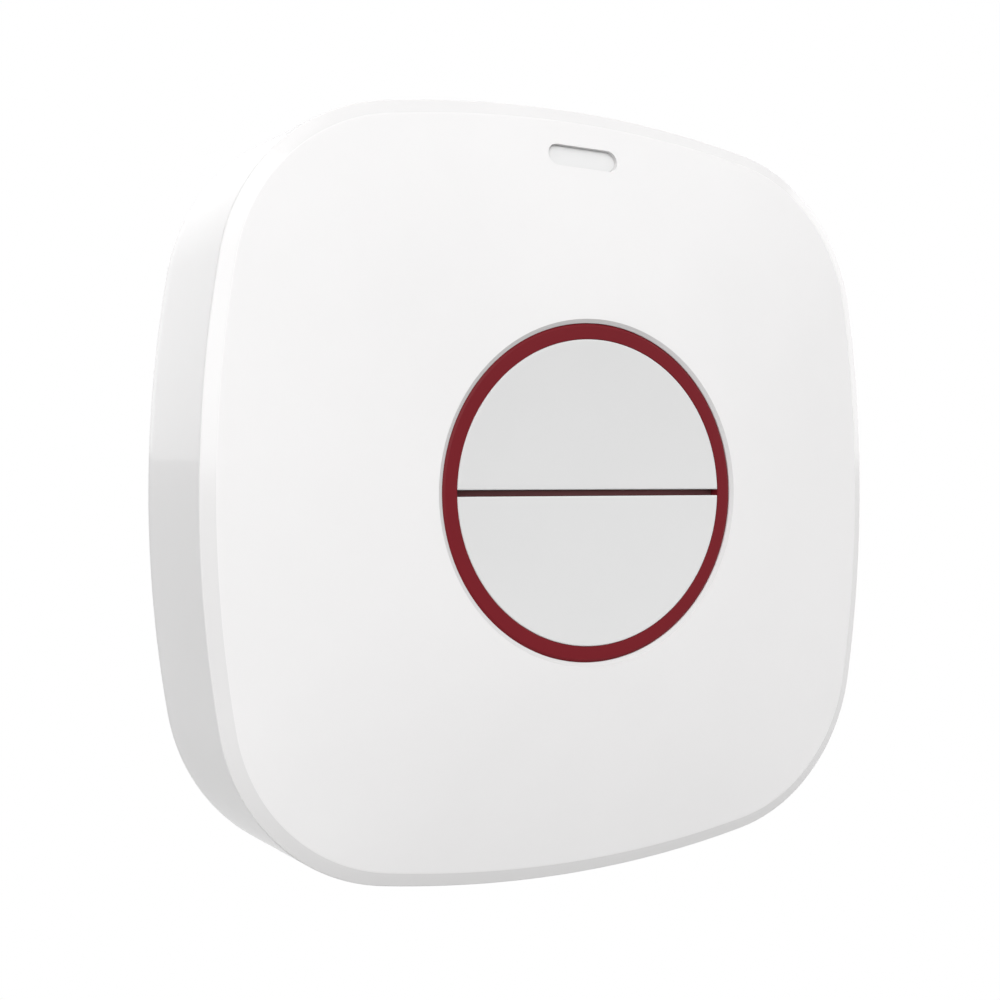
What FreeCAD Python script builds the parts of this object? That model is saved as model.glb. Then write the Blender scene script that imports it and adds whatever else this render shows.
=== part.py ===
import FreeCAD, Part
import math
import os

# Wireless panic button for a wall, in millimetres.
# Every piece is drawn on the bench: x to the right, y up the wall, z out of the wall towards the user, with the
# wall at z = 0. stand_up() then turns each piece so that +Z is up and the button faces -Y.

# Housing outline at its front edge: four shallow side arcs joined by four corner arcs
HALF_WIDTH = 32.5
SIDE_RADIUS = 106.0
CORNER_RADIUS = 15.9

# Housing from the wall outwards
RIM_GAP = 0.2
SIDE_HEIGHT = 12.6
FLARE = 0.6
FACET_WIDTH = 1.18
FACET_DROP = 0.5
CROWN = 2.5
EDGE_ROUND = 0.3
WALL = 1.8
ROOF = 1.7
DOME_STEPS = 5

# Fits
SLIDE_GAP = 0.12
SEAT_GAP = 0.08
STOP_GAP = 0.05

# Key well in the cover, and the collar behind it
WELL_BEVEL_WIDTH = 0.36
WELL_BEVEL_DROP = 0.27
COLLAR_DEPTH = 2.65
COLLAR_MARGIN = 0.2

# Keys: two half-moons with a slit between them
KEY_RADIUS = 12.72
KEY_SLIT = 0.46
KEY_DISH = 0.25
KEY_PLATE = 1.3
KEY_SKIRT_DEPTH = 4.05
KEY_SKIRT_WALL = 1.2
KEY_TRAVEL = 0.35
KEY_EDGE_ROUND = 0.12
KEY_RIB_WIDTH = 0.8
KEY_RIB_DEPTH = 1.2
POST_RADIUS = 1.5
TAB_DEPTH = 0.85
TAB_REACH = 1.18
TAB_WIDTH = 4.0
TAB_BEARINGS = (20.0, 90.0, 160.0)

# Light ring, held under the collar by lugs that are staked to the cover
RING_WIDTH = 1.22
RING_ROUND = 0.2
FLANGE_WIDTH = 0.94
FLANGE_DEPTH = 0.8
BAR_WIDTH = 1.6
BAR_OVERTRAVEL = 0.2
LEG_SPREAD = 12.0
LEG_BEARINGS = (45.0, 135.0, 225.0, 315.0)
LUG_BEARINGS = (0.0, 90.0, 180.0, 270.0)
LUG_RADIUS = 1.7
STAKE_SETBACK = 1.84
STAKE_RADIUS = 0.75
STAKE_HEAD_RADIUS = 1.2
STAKE_HEAD_DEPTH = 0.45

# Indicator window near the top edge, and its light pipe
WINDOW_SETBACK = 4.2
WINDOW_LENGTH = 6.6
WINDOW_WIDTH = 1.72
WINDOW_RECESS = 0.6
LENS_GAP = 0.06
LENS_SEAT_DEPTH = 1.1
LENS_FLANGE = 0.55
LENS_FLANGE_DEPTH = 0.8
LENS_FOOT_LENGTH = 4.0
LENS_FOOT_WIDTH = 1.5

# Circuit board, the bosses that carry it and the ribs that keep it central
BOARD_REAR = 7.4
BOARD_THICKNESS = 1.0
BOARD_INSET = 3.1
BOARD_EDGE_GAP = 0.2
BOSS_SETBACK = 10.5
BOSS_Y = 14.0
BOSS_RADIUS = 2.5
BOSS_TOP_WALL = 1.6
RIB_WIDTH = 1.0
RIB_DEPTH = 2.4
WALL_RIB_SPREAD = 26.0

# Self-tapping board screws
SCREW_RADIUS = 0.95
SCREW_LENGTH = 4.6
SCREW_HEAD_RADIUS = 1.9
SCREW_HEAD_HEIGHT = 1.3
SCREW_HOLE_GAP = 0.15
SCREW_THREAD_GAP = 0.05
DRIVE_WIDTH = 0.6
DRIVE_LENGTH = 2.2
DRIVE_DEPTH = 0.7

# Push switches under the keys, and the tamper switch behind the board
SWITCH_Y = 6.4
SWITCH_SIZE = 6.2
SWITCH_HEIGHT = 3.4
SWITCH_CORNER = 0.6
SWITCH_BORE_DEPTH = 1.3
PLUNGER_RADIUS = 1.6
PLUNGER_GAP = 0.1
PLUNGER_OUT = 0.9
PLUNGER_IN = 0.85
PLUNGER_CHAMFER = 0.15
LEAD_WIDTH = 0.7
LEAD_THICKNESS = 0.2
LEAD_REACH = 1.1
LEAD_RISE = 1.2
LEAD_SPACING = 4.5
TAMPER_X = 10.0
TAMPER_SETBACK = 11.5

# Lamps
LAMP_LENGTH = 2.0
LAMP_WIDTH = 1.25
LAMP_BASE = 0.5
LAMP_TOP = 0.3
LAMP_TOP_INSET = 0.2
LAMP_AIR = 0.4

# Coin cell of the 2450 size, its cradle and its two contacts
CELL_Y = -2.0
CELL_RADIUS = 12.25
CELL_THICKNESS = 5.0
CELL_CAP_RADIUS = 10.9
CELL_CAP_STEP = 0.25
CELL_CRIMP = 0.45
CELL_EDGE = 0.3
CRADLE_BASE = 0.6
CRADLE_GAP = 0.2
CRADLE_WALL = 1.45
CRADLE_HEIGHT = 3.8
CRADLE_MOUTH = 20.0
CRADLE_WINDOW_X = 9.0
CRADLE_WINDOW_Y = 6.0
CELL_LIFT = 0.05
STRAP_THICKNESS = 0.25
STRAP_WIDTH = 5.0
STRAP_GAP = 0.15
STRAP_FOOT = 1.8
STRAP_BEND = 0.6
LEAF_THICKNESS = 0.2
LEAF_WIDTH = 4.0
LEAF_PAD = 4.0
LEAF_SLOPE = 0.8
LEAF_FOOT = 1.1

# Other parts on the back of the board
SHIELD_LENGTH = 13.0
SHIELD_WIDTH = 9.0
SHIELD_HEIGHT = 2.0
SHIELD_CORNER = 0.6
SHIELD_SPACING = 3.1
CONTROLLER_SIZE = 6.0
CONTROLLER_HEIGHT = 0.9
CONTROLLER_CORNER = 0.3
CONTROLLER_Y = 5.5
CRYSTAL_LENGTH = 5.0
CRYSTAL_WIDTH = 3.2
CRYSTAL_HEIGHT = 1.1
CRYSTAL_CORNER = 0.5
CRYSTAL_Y = -7.5
FOOT_SPACING = 1.4

# Bent wire antenna along the board's lower edge
ANTENNA_HALF = 14.0
ANTENNA_SETBACK = 3.2
ANTENNA_RISE = 3.2
ANTENNA_RADIUS = 0.4
ANTENNA_BEND = 1.2

# Rear panel, which is screwed to the wall
PANEL_THICKNESS = 1.4
PANEL_GAP = 0.15
PANEL_EDGE = 0.3
PANEL_RIM_INSET = 1.0
PANEL_RIM_WALL = 1.0
PANEL_RIM_HEIGHT = 1.6
SLOT_SPACING = 0.7
SLOT_WIDTH = 4.6
SLOT_LENGTH = 8.6
SLOT_LIP_WALL = 1.2
SLOT_LIP_HEIGHT = 0.8
TAMPER_POST_RADIUS = 1.5
ARM_WIDTH = 7.0
ARM_THICKNESS = 1.1
ARM_HEIGHT = 4.2
ARM_GAP = 0.25
ARM_RELIEF = 1.2
BARB_REACH = 0.5
BARB_HEIGHT = 1.4
BARB_LAND = 0.3
BARB_GAP = 0.12
PRY_WIDTH = 9.0
PRY_HEIGHT = 1.3

# Worked out: outline
SIDE_CENTRE = HALF_WIDTH - SIDE_RADIUS
ARC_DIFFERENCE = SIDE_RADIUS - CORNER_RADIUS
CORNER_CENTRE = (SIDE_CENTRE + math.sqrt(2 * ARC_DIFFERENCE**2 - SIDE_CENTRE**2)) / 2
JOINT_BEARING = math.asin(CORNER_CENTRE / ARC_DIFFERENCE)
DIAGONAL = math.sqrt(2) * CORNER_CENTRE + CORNER_RADIUS

# Worked out: heights above the wall
FRONT_EDGE = RIM_GAP + SIDE_HEIGHT
FACE_EDGE = FRONT_EDGE + FACET_DROP
TOP = FACE_EDGE + CROWN
COLLAR_SEAT = TOP - COLLAR_DEPTH
FLANGE_BOTTOM = COLLAR_SEAT - FLANGE_DEPTH
KEY_UNDERSIDE = TOP - KEY_PLATE
BAR_TOP = KEY_UNDERSIDE - KEY_TRAVEL - BAR_OVERTRAVEL
BOARD_FRONT = BOARD_REAR + BOARD_THICKNESS
SWITCH_TOP = BOARD_FRONT + SWITCH_HEIGHT
PLUNGER_TIP = SWITCH_TOP + PLUNGER_OUT
LAMP_HEIGHT = LAMP_BASE + LAMP_TOP
LEG_BOTTOM = BOARD_FRONT + LAMP_HEIGHT + LAMP_AIR
CELL_TOP = BOARD_REAR - CRADLE_BASE - CELL_LIFT
CELL_BOTTOM = CELL_TOP - CELL_THICKNESS
TAMPER_TIP = BOARD_REAR - SWITCH_HEIGHT - PLUNGER_OUT

# Worked out: radii and places across the face
RING_INNER = KEY_RADIUS + SLIDE_GAP
RING_OUTER = RING_INNER + RING_WIDTH
STAKE_CIRCLE = RING_OUTER + STAKE_SETBACK
WELL_RADIUS = RING_OUTER + SEAT_GAP
FACE_RADIUS = WELL_RADIUS + WELL_BEVEL_WIDTH
COLLAR_RADIUS = STAKE_CIRCLE + LUG_RADIUS + COLLAR_MARGIN
LAMP_CIRCLE = (RING_INNER + RING_OUTER) / 2
RIM_HALF = HALF_WIDTH - FACET_WIDTH
BOARD_HALF = HALF_WIDTH - BOARD_INSET
WINDOW_Y = HALF_WIDTH - WINDOW_SETBACK
BOSS_X = HALF_WIDTH - BOSS_SETBACK
TAMPER_Y = TAMPER_SETBACK - HALF_WIDTH
ANTENNA_Y = ANTENNA_SETBACK - BOARD_HALF
CRADLE_RADIUS = CELL_RADIUS + CRADLE_GAP + CRADLE_WALL
STRAP_LEG = CRADLE_RADIUS + STRAP_GAP + STRAP_THICKNESS
FOOT_END = STRAP_LEG + STRAP_FOOT
SHIELD_Y = CELL_Y + CRADLE_RADIUS + SHIELD_SPACING + SHIELD_WIDTH / 2
CONTROLLER_X = -FOOT_END - FOOT_SPACING - CONTROLLER_SIZE / 2
CRYSTAL_X = -FOOT_END - FOOT_SPACING - CRYSTAL_LENGTH / 2
SLOT_X = STRAP_LEG + SLOT_SPACING + SLOT_LIP_WALL + SLOT_LENGTH / 2

VERTICAL = FreeCAD.Vector(0, 0, 1)
BEYOND = 2.0


def point(x, y, z):
    return FreeCAD.Vector(x, y, z)


def outline(half, diagonal, z):
    """Closed wire of four side arcs and four corner arcs that meet at JOINT_BEARING.

    half is the centre to the middle of a side, diagonal the centre to a corner.
    """
    shortfall = (math.sqrt(2) - 1) * math.sin(JOINT_BEARING) - 1 + math.cos(JOINT_BEARING)
    difference = (diagonal - half) / shortfall
    corner = difference * math.sin(JOINT_BEARING)
    corner_radius = diagonal - math.sqrt(2) * corner
    side_radius = corner_radius + difference
    side = half - side_radius

    def on_arc(centre_x, centre_y, radius, bearing, turn):
        x = centre_x + radius * math.cos(bearing)
        y = centre_y + radius * math.sin(bearing)
        cos, sin = math.cos(turn), math.sin(turn)
        return point(x * cos - y * sin, x * sin + y * cos, z)

    edges = []
    for quarter in range(4):
        turn = quarter * math.pi / 2
        bearings = (-JOINT_BEARING, 0.0, JOINT_BEARING)
        edges.append(Part.Arc(*[on_arc(side, 0.0, side_radius, b, turn) for b in bearings]).toShape())
        bearings = (JOINT_BEARING, math.pi / 4, math.pi / 2 - JOINT_BEARING)
        edges.append(Part.Arc(*[on_arc(corner, corner, corner_radius, b, turn) for b in bearings]).toShape())
    return Part.Wire(edges)


def grown(offset, z):
    """The housing outline grown outwards by offset, at height z."""
    return outline(HALF_WIDTH + offset, DIAGONAL + offset, z)


def flare_at(z):
    """How far the outside of the side wall stands out from the front edge, at height z."""
    return FLARE * (FRONT_EDGE - z) / SIDE_HEIGHT


def inside_at(z):
    """Offset of the side wall's inner face, at height z."""
    return flare_at(z) - WALL


def drafted(offset_at, low, high):
    """Solid between two heights whose outline offset is offset_at(z)."""
    return Part.makeLoft([grown(offset_at(low), low), grown(offset_at(high), high)], True, True)


def dome(rim_offset, rim_z, circle_radius, circle_z):
    """Shallow dome from the housing outline at the rim to a circle at the top.

    The squares of the half width and of the diagonal change evenly with height.
    """
    half = HALF_WIDTH + rim_offset
    diagonal = DIAGONAL + rim_offset
    sections = []
    for step in range(DOME_STEPS + 1):
        share = step / DOME_STEPS
        section_half = math.sqrt((1 - share) * half**2 + share * circle_radius**2)
        section_diagonal = math.sqrt((1 - share) * diagonal**2 + share * circle_radius**2)
        sections.append(outline(section_half, section_diagonal, rim_z + share * (circle_z - rim_z)))
    return Part.makeLoft(sections, True, False)


def cylinder(x, y, radius, low, high):
    return Part.makeCylinder(radius, high - low, point(x, y, low), VERTICAL)


def tube(inner, outer, low, high):
    return cylinder(0, 0, outer, low, high).cut(cylinder(0, 0, inner, low - BEYOND, high + BEYOND))


def block(x, y, length, width, low, high):
    """Box centred on x, y."""
    return Part.makeBox(length, width, high - low, point(x - length / 2, y - width / 2, low))


def obround(x, y, length, width, low, high):
    """Slot shape with round ends, its long side along x."""
    radius = width / 2
    run = (length - width) / 2
    ends = [cylinder(x + side * run, y, radius, low, high) for side in (-1, 1)]
    return block(x, y, 2 * run, width, low, high).fuse(ends).removeSplitter()


def turned(shape, degrees):
    """A copy turned about the button's centre line."""
    copy = shape.copy()
    copy.rotate(point(0, 0, 0), VERTICAL, degrees)
    return copy


def at_bearing(radius, degrees):
    angle = math.radians(degrees)
    return radius * math.cos(angle), radius * math.sin(angle)


def upright_face(corners, y):
    """Flat face in the plane y, from its (x, z) corners."""
    places = [point(x, y, z) for x, z in corners]
    return Part.Face(Part.makePolygon(places + places[:1]))


def revolved(corners, spread=360):
    """Solid of revolution about the centre line from (radius, height) corners."""
    return upright_face(corners, 0).revolve(point(0, 0, 0), VERTICAL, spread)


def sector(inner, outer, low, high, bearing, spread):
    """Part of a tube, spread degrees wide and centred on a bearing."""
    solid = revolved([(inner, low), (outer, low), (outer, high), (inner, high)], spread)
    return turned(solid, bearing - spread / 2)


def across(corners, y, width):
    """Solid with the same (x, z) profile over a width along y, centred on y."""
    return upright_face(corners, y - width / 2).extrude(point(0, width, 0))


def edges_along(shape, direction):
    return [e for e in shape.Edges if abs(e.tangentAt(e.FirstParameter).dot(direction)) > 0.999]


def housing_outside():
    walls = Part.makeLoft(
        [grown(FLARE, RIM_GAP), grown(0.0, FRONT_EDGE), grown(-FACET_WIDTH, FACE_EDGE)], True, True
    )
    body = walls.fuse(dome(-FACET_WIDTH, FACE_EDGE, FACE_RADIUS, TOP))
    front_edges = [
        e
        for e in body.Edges
        if abs(e.BoundBox.ZMin - FRONT_EDGE) < 1e-6 and abs(e.BoundBox.ZMax - FRONT_EDGE) < 1e-6
    ]
    return body.makeFillet(EDGE_ROUND, front_edges)


def housing_inside():
    shoulder = FRONT_EDGE - ROOF - FACET_DROP
    ceiling = FACE_EDGE - ROOF
    ceiling_offset = inside_at(shoulder) - (ceiling - shoulder)
    below = RIM_GAP - BEYOND
    walls = Part.makeLoft(
        [
            grown(inside_at(below), below),
            grown(inside_at(shoulder), shoulder),
            grown(ceiling_offset, ceiling),
        ],
        True,
        True,
    )
    return walls.fuse(dome(ceiling_offset, ceiling, FACE_RADIUS, TOP - ROOF))


def window(margin, low, high):
    length = WINDOW_LENGTH + 2 * margin
    width = WINDOW_WIDTH + 2 * margin
    return obround(0, WINDOW_Y, length, width, low, high)


def lens_seat():
    """Height of the flat seat under the roof that the lens flange rests against."""
    share = (RIM_HALF**2 - WINDOW_Y**2) / (RIM_HALF**2 - FACE_RADIUS**2)
    return FACE_EDGE + CROWN * share - WINDOW_RECESS - LENS_SEAT_DEPTH


def boss_places():
    return [(sx * BOSS_X, sy * BOSS_Y) for sx in (-1, 1) for sy in (-1, 1)]


def cover_fittings(outside):
    """What the cover carries under its roof: the well's collar, the board bosses and their ribs."""
    pieces = [cylinder(0, 0, COLLAR_RADIUS, COLLAR_SEAT, TOP)]
    for x, y in boss_places():
        pieces.append(cylinder(x, y, BOSS_RADIUS, BOARD_FRONT, TOP))
        reach = math.hypot(x, y)
        rib = block(reach / 2, 0, reach, RIB_WIDTH, TOP - CROWN - RIB_DEPTH, TOP)
        rib = rib.cut(cylinder(0, 0, COLLAR_RADIUS - BEYOND / 2, 0, TOP + BEYOND))
        pieces.append(turned(rib, math.degrees(math.atan2(y, x))))
    pieces.append(window(LENS_FLANGE + WALL, lens_seat(), TOP))
    pieces += wall_ribs()
    return pieces[0].fuse(pieces[1:]).common(outside)


def wall_ribs():
    """Two ribs inside each side wall: they stand on the panel's rim and keep the board central."""
    foot = PANEL_THICKNESS + PANEL_RIM_HEIGHT + STOP_GAP
    board = drafted(lambda z: BOARD_EDGE_GAP - BOARD_INSET, 0, TOP + BEYOND)
    reach = 4 * BOARD_INSET
    ribs = []
    for quarter in range(4):
        for side in (-1, 1):
            rib = block(HALF_WIDTH, side * WALL_RIB_SPREAD / 2, reach, RIB_WIDTH, foot, FACE_EDGE)
            ribs.append(turned(rib, 90 * quarter).cut(board))
    return ribs


def stakes():
    """Pins that pass through the ring's lugs and are melted over into heads."""
    pins = []
    for bearing in LUG_BEARINGS:
        x, y = at_bearing(STAKE_CIRCLE, bearing)
        pin = cylinder(x, y, STAKE_RADIUS, FLANGE_BOTTOM - STAKE_HEAD_DEPTH, COLLAR_SEAT + WALL / 2)
        foot = point(x, y, FLANGE_BOTTOM - STAKE_HEAD_DEPTH)
        head = Part.makeCone(STAKE_RADIUS, STAKE_HEAD_RADIUS, STAKE_HEAD_DEPTH, foot, VERTICAL)
        pins.append(pin.fuse(head))
    return pins


def arm_face():
    """Distance from the centre line to the outer face of a snap arm."""
    return HALF_WIDTH + inside_at(PANEL_THICKNESS + ARM_HEIGHT) - ARM_GAP


def barb_low():
    return PANEL_THICKNESS + ARM_HEIGHT - BARB_HEIGHT


def arm_pockets():
    """Pockets in the cover's side walls that the panel's barbs snap into."""
    inner = arm_face() - ARM_THICKNESS
    outer = arm_face() + BARB_REACH + BARB_GAP
    pocket = block(
        (inner + outer) / 2,
        0,
        outer - inner,
        ARM_WIDTH + 2 * BARB_GAP,
        barb_low() - BARB_GAP,
        barb_low() + BARB_HEIGHT + BARB_GAP,
    )
    return [turned(pocket, 90 * quarter) for quarter in range(4)]


def front_cover():
    outside = housing_outside()
    cover = outside.cut(housing_inside()).fuse(cover_fittings(outside))
    cuts = [cylinder(0, 0, WELL_RADIUS, COLLAR_SEAT - BEYOND, TOP + BEYOND)]
    bevel_foot = point(0, 0, TOP - WELL_BEVEL_DROP)
    cuts.append(Part.makeCone(WELL_RADIUS, FACE_RADIUS, WELL_BEVEL_DROP, bevel_foot, VERTICAL))
    cuts.append(window(0.0, lens_seat() - BEYOND, TOP))
    cuts.append(window(LENS_FLANGE + LENS_GAP, lens_seat() - BEYOND, lens_seat()))
    for x, y in boss_places():
        pilot = SCREW_RADIUS + SCREW_THREAD_GAP
        cuts.append(cylinder(x, y, pilot, BOARD_FRONT - BEYOND, FACE_EDGE - BOSS_TOP_WALL + ROOF / 2))
    cuts += arm_pockets()
    rim = HALF_WIDTH + FLARE
    cuts.append(block(0, -rim, PRY_WIDTH, 2 * (WALL + FLARE), 0, RIM_GAP + PRY_HEIGHT))
    return cover.cut(cuts).fuse(stakes())


def rear_panel():
    def edge(z):
        return inside_at(z) - PANEL_GAP

    plate = Part.makeLoft(
        [
            grown(edge(0) - PANEL_EDGE, 0),
            grown(edge(PANEL_EDGE), PANEL_EDGE),
            grown(edge(PANEL_THICKNESS), PANEL_THICKNESS),
        ],
        True,
        True,
    )
    rim_offset = edge(PANEL_THICKNESS) - PANEL_RIM_INSET
    rim_top = PANEL_THICKNESS + PANEL_RIM_HEIGHT
    rim = drafted(lambda z: rim_offset, PANEL_THICKNESS, rim_top)
    rim = rim.cut(drafted(lambda z: rim_offset - PANEL_RIM_WALL, PANEL_THICKNESS - BEYOND, rim_top + BEYOND))
    relief = ARM_WIDTH + 2 * ARM_RELIEF
    for size in ((relief, 3 * HALF_WIDTH), (3 * HALF_WIDTH, relief)):
        rim = rim.cut(block(0, 0, *size, PANEL_THICKNESS, rim_top + BEYOND))

    face = arm_face()
    arm_top = PANEL_THICKNESS + ARM_HEIGHT
    profile = [
        (face - ARM_THICKNESS, PANEL_THICKNESS / 2),
        (face, PANEL_THICKNESS / 2),
        (face, barb_low()),
        (face + BARB_REACH, barb_low() + BARB_REACH),
        (face + BARB_REACH, barb_low() + BARB_REACH + BARB_LAND),
        (face, arm_top),
        (face - ARM_THICKNESS, arm_top),
    ]
    arm = across(profile, 0, ARM_WIDTH)
    added = rim.Solids + [turned(arm, 90 * quarter) for quarter in range(4)]
    for side in (-1, 1):
        lip_top = PANEL_THICKNESS + SLOT_LIP_HEIGHT
        lip_length = SLOT_LENGTH + 2 * SLOT_LIP_WALL
        lip_width = SLOT_WIDTH + 2 * SLOT_LIP_WALL
        added.append(obround(side * SLOT_X, 0, lip_length, lip_width, PANEL_THICKNESS / 2, lip_top))
    added.append(cylinder(TAMPER_X, TAMPER_Y, TAMPER_POST_RADIUS, PANEL_THICKNESS / 2, TAMPER_TIP))
    past = PANEL_THICKNESS + BEYOND
    slots = [obround(side * SLOT_X, 0, SLOT_LENGTH, SLOT_WIDTH, -BEYOND, past) for side in (-1, 1)]
    return plate.fuse(added).cut(slots)


def light_ring():
    ring = revolved(
        [
            (RING_INNER, FLANGE_BOTTOM),
            (RING_OUTER + FLANGE_WIDTH, FLANGE_BOTTOM),
            (RING_OUTER + FLANGE_WIDTH, COLLAR_SEAT),
            (RING_OUTER, COLLAR_SEAT),
            (RING_OUTER, TOP),
            (RING_INNER, TOP),
        ]
    )
    top_edges = [
        e
        for e in ring.Edges
        if abs(e.BoundBox.ZMin - TOP) < 1e-6 and abs(e.BoundBox.XMax - RING_OUTER) < 1e-6 and e.Closed
    ]
    ring = ring.makeFillet(RING_ROUND, top_edges)
    middle = (RING_INNER + RING_OUTER) / 2
    bar = block(0, 0, 2 * middle, BAR_WIDTH, FLANGE_BOTTOM, BAR_TOP)
    legs = [sector(RING_INNER, RING_OUTER, LEG_BOTTOM, COLLAR_SEAT, b, LEG_SPREAD) for b in LEG_BEARINGS]
    lugs = []
    holes = []
    for bearing in LUG_BEARINGS:
        x, y = at_bearing(STAKE_CIRCLE, bearing)
        lugs.append(cylinder(x, y, LUG_RADIUS, FLANGE_BOTTOM, COLLAR_SEAT))
        neck = block(STAKE_CIRCLE / 2, 0, STAKE_CIRCLE, 2 * LUG_RADIUS, FLANGE_BOTTOM, COLLAR_SEAT)
        lugs.append(turned(neck, bearing))
        holes.append(cylinder(x, y, STAKE_RADIUS + STOP_GAP, FLANGE_BOTTOM - BEYOND, COLLAR_SEAT + BEYOND))
    clear = cylinder(0, 0, RING_INNER, FLANGE_BOTTOM - BEYOND, TOP + BEYOND)
    lugs = [lug.cut(clear) for lug in lugs]
    return ring.fuse([bar] + legs + lugs).cut(holes)


def key():
    """The upper key: a dished half-moon plate on a skirt, with a post for the switch and stop tabs."""
    half_slit = KEY_SLIT / 2
    bottom = TOP - KEY_SKIRT_DEPTH
    plate = cylinder(0, 0, KEY_RADIUS, KEY_UNDERSIDE, TOP)
    dish_radius = (KEY_RADIUS**2 + KEY_DISH**2) / (2 * KEY_DISH)
    plate = plate.cut(Part.makeSphere(dish_radius, point(0, 0, TOP - KEY_DISH + dish_radius)))
    plate = plate.common(block(0, half_slit + KEY_RADIUS, 4 * KEY_RADIUS, 2 * KEY_RADIUS, KEY_UNDERSIDE, TOP))
    rounded = [e for e in plate.Edges if e.BoundBox.ZMin > TOP - KEY_DISH - 1e-3]
    plate = plate.makeFillet(KEY_EDGE_ROUND, rounded)

    skirt_low = BAR_WIDTH / 2 + BAR_OVERTRAVEL
    skirt = tube(KEY_RADIUS - KEY_SKIRT_WALL, KEY_RADIUS, bottom, KEY_UNDERSIDE)
    bulkhead_y = skirt_low + KEY_SKIRT_WALL / 2
    bulkhead = block(0, bulkhead_y, 4 * KEY_RADIUS, KEY_SKIRT_WALL, FLANGE_BOTTOM, KEY_UNDERSIDE)
    bulkhead = bulkhead.common(cylinder(0, 0, KEY_RADIUS, bottom, KEY_UNDERSIDE))
    upper_half = block(0, skirt_low + KEY_RADIUS, 4 * KEY_RADIUS, 2 * KEY_RADIUS, 0, TOP)
    skirt = skirt.common(upper_half)
    post = cylinder(0, SWITCH_Y, POST_RADIUS, PLUNGER_TIP, KEY_UNDERSIDE)
    rib_bottom = KEY_UNDERSIDE - KEY_RIB_DEPTH
    ribs = [
        block(0, SWITCH_Y, 4 * KEY_RADIUS, KEY_RIB_WIDTH, rib_bottom, KEY_UNDERSIDE),
        block(0, skirt_low + KEY_RADIUS, KEY_RIB_WIDTH, 2 * KEY_RADIUS, rib_bottom, KEY_UNDERSIDE),
    ]
    ribs = [rib.common(cylinder(0, 0, KEY_RADIUS, rib_bottom, KEY_UNDERSIDE)) for rib in ribs]
    tab_top = FLANGE_BOTTOM - STOP_GAP
    tab_outer = KEY_RADIUS + TAB_REACH
    tab_spread = math.degrees(TAB_WIDTH / tab_outer)
    tabs = [
        sector(KEY_RADIUS - KEY_SKIRT_WALL, tab_outer, tab_top - TAB_DEPTH, tab_top, b, tab_spread)
        for b in TAB_BEARINGS
    ]
    return plate.fuse([skirt, bulkhead, post] + ribs + tabs)


def indicator_lens():
    seat = lens_seat()
    stem = window(-LENS_GAP, seat - LENS_FLANGE_DEPTH, TOP)
    lowered = dome(-FACET_WIDTH, FACE_EDGE, FACE_RADIUS, TOP)
    lowered.translate(point(0, 0, -WINDOW_RECESS))
    below = drafted(lambda z: -FACET_WIDTH, 0, FACE_EDGE - WINDOW_RECESS)
    stem = stem.common(lowered.fuse(below))
    flange = window(LENS_FLANGE, seat - LENS_FLANGE_DEPTH, seat)
    foot_bottom = BOARD_FRONT + LAMP_HEIGHT + LAMP_AIR
    foot = obround(0, WINDOW_Y, LENS_FOOT_LENGTH, LENS_FOOT_WIDTH, foot_bottom, seat - LENS_FLANGE_DEPTH)
    return stem.fuse([flange, foot])


def circuit_board():
    board = drafted(lambda z: -BOARD_INSET, BOARD_REAR, BOARD_FRONT)
    hole = SCREW_RADIUS + SCREW_HOLE_GAP
    holes = [cylinder(x, y, hole, BOARD_REAR - BEYOND, BOARD_FRONT + BEYOND) for x, y in boss_places()]
    return board.cut(holes)


def board_screws():
    screws = []
    head_low = BOARD_REAR - SCREW_HEAD_HEIGHT
    for x, y in boss_places():
        shank = cylinder(x, y, SCREW_RADIUS, BOARD_REAR, BOARD_FRONT + SCREW_LENGTH - BOARD_THICKNESS)
        head = cylinder(x, y, SCREW_HEAD_RADIUS, head_low, BOARD_REAR)
        rim = [e for e in head.Edges if e.Closed and abs(e.BoundBox.ZMax - head_low) < 1e-6]
        head = head.makeFillet(SCREW_HEAD_HEIGHT / 2, rim)
        cross = [
            block(x, y, DRIVE_LENGTH, DRIVE_WIDTH, head_low - BEYOND, head_low + DRIVE_DEPTH),
            block(x, y, DRIVE_WIDTH, DRIVE_LENGTH, head_low - BEYOND, head_low + DRIVE_DEPTH),
        ]
        screws.append(head.fuse(shank).cut(cross))
    return Part.makeCompound(screws)


def switch_case():
    """Push switch body with its plunger bore and four soldered leads, standing on z = 0."""
    case = block(0, 0, SWITCH_SIZE, SWITCH_SIZE, 0, SWITCH_HEIGHT)
    case = case.makeChamfer(SWITCH_CORNER, edges_along(case, VERTICAL))
    bore = PLUNGER_RADIUS + PLUNGER_GAP
    case = case.cut(cylinder(0, 0, bore, SWITCH_HEIGHT - SWITCH_BORE_DEPTH, SWITCH_HEIGHT + BEYOND))
    leads = []
    for side in (-1, 1):
        for end in (-1, 1):
            y = end * LEAD_SPACING / 2
            riser_x = side * (SWITCH_SIZE + LEAD_THICKNESS) / 2
            leads.append(block(riser_x, y, LEAD_THICKNESS, LEAD_WIDTH, 0, LEAD_RISE))
            foot_x = side * (SWITCH_SIZE + LEAD_REACH) / 2
            leads.append(block(foot_x, y, LEAD_REACH, LEAD_WIDTH, 0, LEAD_THICKNESS))
    return case.fuse(leads)


def switch_plunger():
    """Plunger of a push switch, in the frame of switch_case()."""
    low = SWITCH_HEIGHT - PLUNGER_IN
    high = SWITCH_HEIGHT + PLUNGER_OUT
    plunger = cylinder(0, 0, PLUNGER_RADIUS, low, high)
    tip = [e for e in plunger.Edges if e.Closed and abs(e.BoundBox.ZMin - high) < 1e-6]
    return plunger.makeChamfer(PLUNGER_CHAMFER, tip)


def on_front(shape, x, y):
    """Stands a switch on the front of the board."""
    placed = shape.copy()
    placed.translate(point(x, y, BOARD_FRONT))
    return placed


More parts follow.
